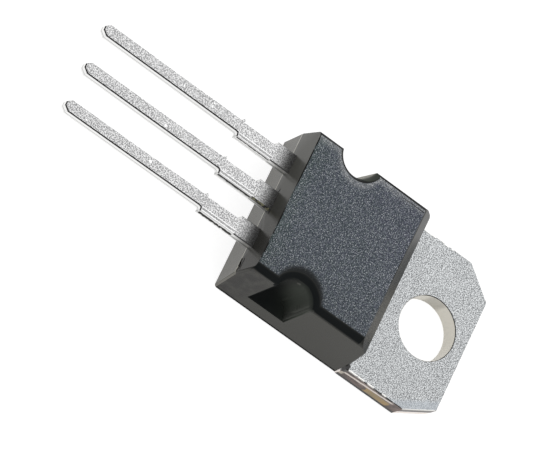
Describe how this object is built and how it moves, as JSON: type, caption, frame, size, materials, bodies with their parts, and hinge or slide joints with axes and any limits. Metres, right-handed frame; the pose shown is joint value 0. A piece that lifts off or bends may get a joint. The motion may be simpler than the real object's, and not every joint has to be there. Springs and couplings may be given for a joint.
{
  "type": "thyristor in a leaded power package",
  "caption": "Power semiconductor switch: moulded body with side pockets on a flat metal tab with a mounting hole, and a row of flat straight leads with shoulders.",
  "frame": {"origin": "axis of the mounting hole, on the back face of the metal tab", "axes": "+Z out of the front face, +Y to the free end of the tab, leads along -Y; with the front face towards the viewer and the leads down, +X is to the right"},
  "size_m": [0.0102, 0.0292, 0.0045],
  "materials": {
    "epoxy": "dark slate moulding compound, fine sparkling grain on the front face and smooth on the walls",
    "tinned_copper": "dull tin plating with a fine grain, bare copper tone on the cut edges",
    "silicon": "grey silicon with bright front metal",
    "solder": "dull grey solder",
    "bond_wire": "bright drawn wire"
  },
  "bodies": {
    "root": {"moulded_body": "epoxy", "heat_tab": "tinned_copper", "cathode_lead": "tinned_copper", "gate_lead": "tinned_copper", "thyristor_chip": "silicon", "chip_solder": "solder", "cathode_wire_1": "bond_wire", "cathode_wire_2": "bond_wire", "gate_wire": "bond_wire"}
  },
  "joints": []
}
